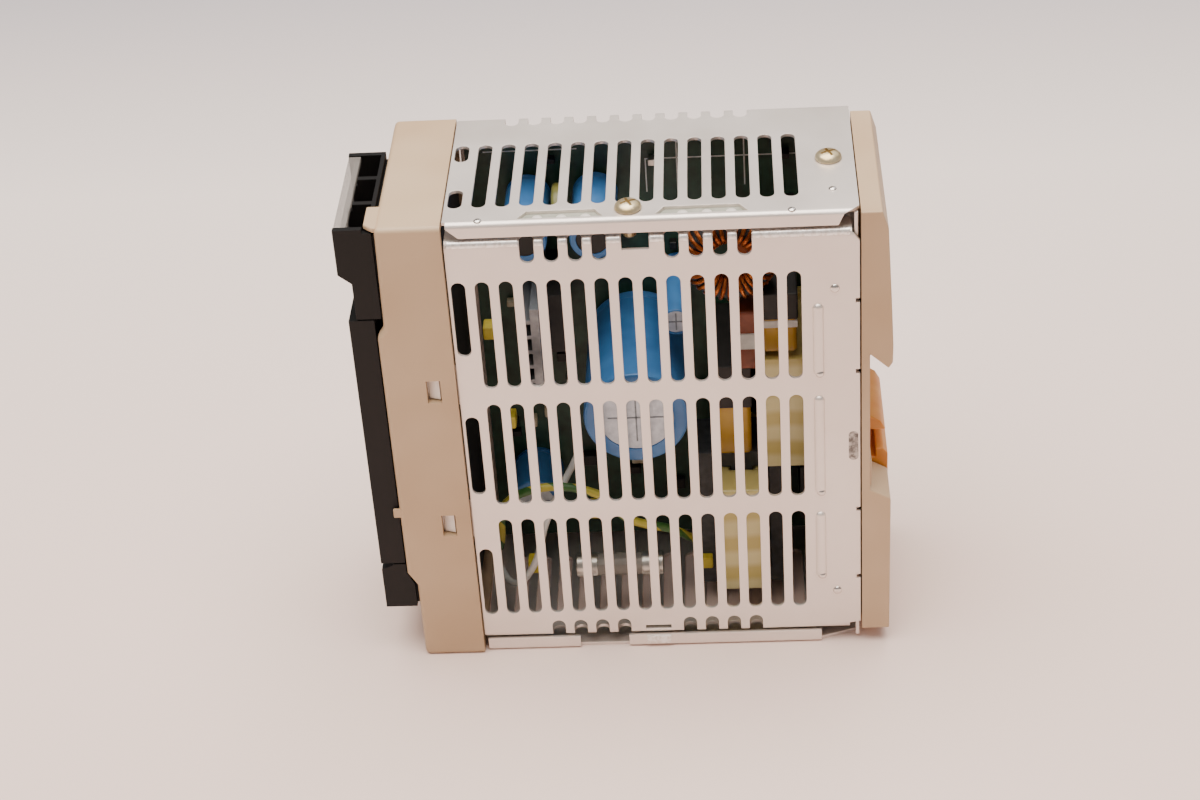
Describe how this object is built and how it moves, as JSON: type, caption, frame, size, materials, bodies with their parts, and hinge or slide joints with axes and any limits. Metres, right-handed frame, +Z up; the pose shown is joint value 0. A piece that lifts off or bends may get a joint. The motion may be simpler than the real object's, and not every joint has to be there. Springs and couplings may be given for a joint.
{
  "type": "din rail power supply",
  "caption": "Slim rail-mounted power supply: perforated folded metal case, beige front bezel and rail base, black terminal blocks with hinged covers, and a sliding rail stopper.",
  "frame": {"origin": "centre of the outer box's base", "axes": "+Z up, +X towards the rail at the rear, -X the terminals at the front, -Y the perforated side cover"},
  "size_m": [0.1174, 0.049, 0.1168],
  "materials": {
    "case_metal": "satin plated sheet",
    "beige_plastic": "fine moulded grain",
    "black_plastic": "satin moulded",
    "smoke_plastic": "clear smoke tint",
    "amber_plastic": "satin moulded",
    "key_plastic": "satin moulded",
    "white_plastic": "satin moulded",
    "blue_sleeve": "shrunk sleeve",
    "green_lens": "clear tinted",
    "red_lens": "clear tinted",
    "zinc_steel": "yellow zinc plated",
    "circuit_board": "solder-masked laminate",
    "ferrite": "sintered",
    "winding_tape": "polyester tape",
    "copper_winding": "enamelled wire",
    "heat_sink_metal": "mill finish",
    "mustard_film": "dipped resin",
    "olive_disc": "dipped resin",
    "black_epoxy": "moulded epoxy",
    "earth_insulation": "extruded"
  },
  "bodies": {
    "case": {"folded_case": "case_metal", "side_cover": "case_metal", "rear_plate": "case_metal", "front_bezel": "beige_plastic", "rail_base": "beige_plastic", "upper_terminal_block": "black_plastic", "lower_terminal_block": "black_plastic", "front_panel": "black_plastic", "display_window": "smoke_plastic", "display_module": "white_plastic", "signal_wire": "white_plastic", "fuse": "white_plastic", "trimmer_housing": "blue_sleeve", "bulk_capacitor": "blue_sleeve", "output_capacitor_1": "blue_sleeve", "output_capacitor_2": "blue_sleeve", "output_capacitor_3": "blue_sleeve", "start_capacitor": "blue_sleeve", "output_on_lamp": "green_lens", "alarm_lamp": "red_lens", "upper_terminal_plate_1": "zinc_steel", "upper_terminal_plate_2": "zinc_steel", "upper_terminal_plate_3": "zinc_steel", "lower_terminal_plate_1": "zinc_steel", "lower_terminal_plate_2": "zinc_steel", "lower_terminal_plate_3": "zinc_steel", "side_screw": "zinc_steel", "rear_screw": "zinc_steel", "board_standoff_1": "zinc_steel", "board_standoff_2": "zinc_steel", "board_standoff_3": "zinc_steel", "board_standoff_4": "zinc_steel", "main_board": "circuit_board", "front_board": "circuit_board", "transformer_core": "ferrite", "transformer_winding": "winding_tape", "line_filter": "winding_tape", "output_choke": "copper_winding", "output_heat_sink": "heat_sink_metal", "input_heat_sink": "heat_sink_metal", "film_capacitor": "mustard_film", "x_capacitor": "mustard_film", "varistor": "olive_disc", "output_rectifier": "black_epoxy", "power_transistor": "black_epoxy", "earth_wire": "earth_insulation"},
    "upper_terminal_cover": {"upper_terminal_cover": "smoke_plastic"},
    "lower_terminal_cover": {"lower_terminal_cover": "smoke_plastic"},
    "rail_stopper": {"rail_stopper": "amber_plastic"},
    "down_key": {"down_key": "key_plastic"},
    "mode_key": {"mode_key": "key_plastic"},
    "up_key": {"up_key": "key_plastic"},
    "voltage_trimmer": {"voltage_trimmer": "white_plastic"},
    "upper_terminal_screw_1": {"upper_terminal_screw_1": "zinc_steel"},
    "upper_terminal_screw_2": {"upper_terminal_screw_2": "zinc_steel"},
    "upper_terminal_screw_3": {"upper_terminal_screw_3": "zinc_steel"},
    "lower_terminal_screw_1": {"lower_terminal_screw_1": "zinc_steel"},
    "lower_terminal_screw_2": {"lower_terminal_screw_2": "zinc_steel"},
    "lower_terminal_screw_3": {"lower_terminal_screw_3": "zinc_steel"}
  },
  "joints": [
    {"name": "upper_cover_hinge", "type": "hinge", "parent": "case", "child": "upper_terminal_cover", "pos_m": [-0.058, -0.0062, 0.1054], "axis": [0, -1, 0], "range_deg": [0, 100]},
    {"name": "lower_cover_hinge", "type": "hinge", "parent": "case", "child": "lower_terminal_cover", "pos_m": [-0.057, -0.0062, 0.0227], "axis": [0, 1, 0], "range_deg": [0, 100]},
    {"name": "rail_stopper_slide", "type": "slide", "parent": "case", "child": "rail_stopper", "axis": [0, 0, -1], "range_m": [0, 0.0026]},
    {"name": "voltage_trim", "type": "hinge", "parent": "case", "child": "voltage_trimmer", "pos_m": [-0.0574, 0.012, 0.047], "axis": [1, 0, 0], "range_deg": [-135, 135]},
    {"name": "down_key_press", "type": "slide", "parent": "case", "child": "down_key", "axis": [1, 0, 0], "range_m": [0, 0.0004], "stiffness_N_per_m": 200},
    {"name": "mode_key_press", "type": "slide", "parent": "case", "child": "mode_key", "axis": [1, 0, 0], "range_m": [0, 0.0004], "stiffness_N_per_m": 200},
    {"name": "up_key_press", "type": "slide", "parent": "case", "child": "up_key", "axis": [1, 0, 0], "range_m": [0, 0.0004], "stiffness_N_per_m": 200},
    {"name": "upper_screw_1_out", "type": "slide", "parent": "case", "child": "upper_terminal_screw_1", "axis": [-1, 0, 0], "range_m": [0, 0.003]},
    {"name": "upper_screw_2_out", "type": "slide", "parent": "case", "child": "upper_terminal_screw_2", "axis": [-1, 0, 0], "range_m": [0, 0.003]},
    {"name": "upper_screw_3_out", "type": "slide", "parent": "case", "child": "upper_terminal_screw_3", "axis": [-1, 0, 0], "range_m": [0, 0.003]},
    {"name": "lower_screw_1_out", "type": "slide", "parent": "case", "child": "lower_terminal_screw_1", "axis": [-1, 0, 0], "range_m": [0, 0.003]},
    {"name": "lower_screw_2_out", "type": "slide", "parent": "case", "child": "lower_terminal_screw_2", "axis": [-1, 0, 0], "range_m": [0, 0.003]},
    {"name": "lower_screw_3_out", "type": "slide", "parent": "case", "child": "lower_terminal_screw_3", "axis": [-1, 0, 0], "range_m": [0, 0.003]}
  ]
}
